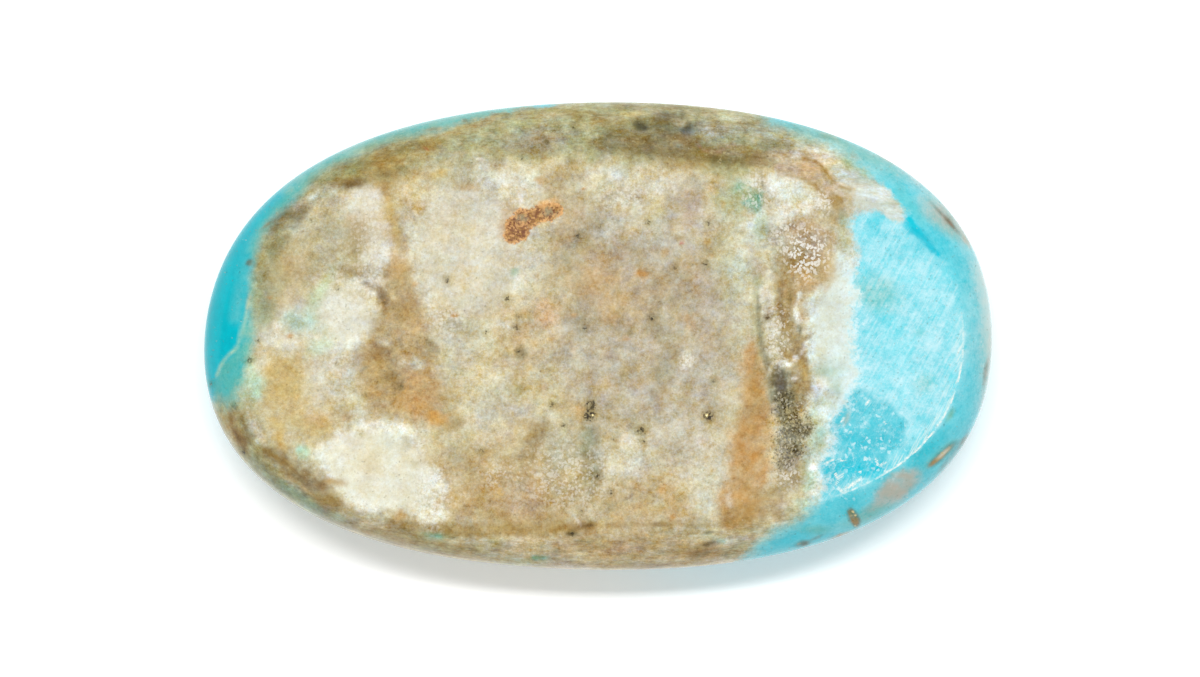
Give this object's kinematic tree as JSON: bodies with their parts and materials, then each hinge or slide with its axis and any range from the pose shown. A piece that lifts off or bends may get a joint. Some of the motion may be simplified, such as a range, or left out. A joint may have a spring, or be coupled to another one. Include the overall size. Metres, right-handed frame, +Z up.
{
  "type": "polished turquoise cabochon",
  "caption": "Oval polished turquoise stone with a low dome, a flat lapped back in tan host rock and a rounded bevel; it lies on its dome, back up.",
  "frame": {"origin": "on the surface that the stone rests on, under the middle of its outline", "axes": "+X along the stone towards the end that is solid turquoise, +Y across it towards the wider bevel, +Z up out of the flat back"},
  "size_m": [0.032, 0.019, 0.007],
  "materials": {
    "turquoise_and_host_rock": "polished turquoise with tan, cream and brown host rock, lapped satin on the flat back"
  },
  "bodies": {
    "root": {"turquoise_stone": "turquoise_and_host_rock"}
  },
  "joints": []
}
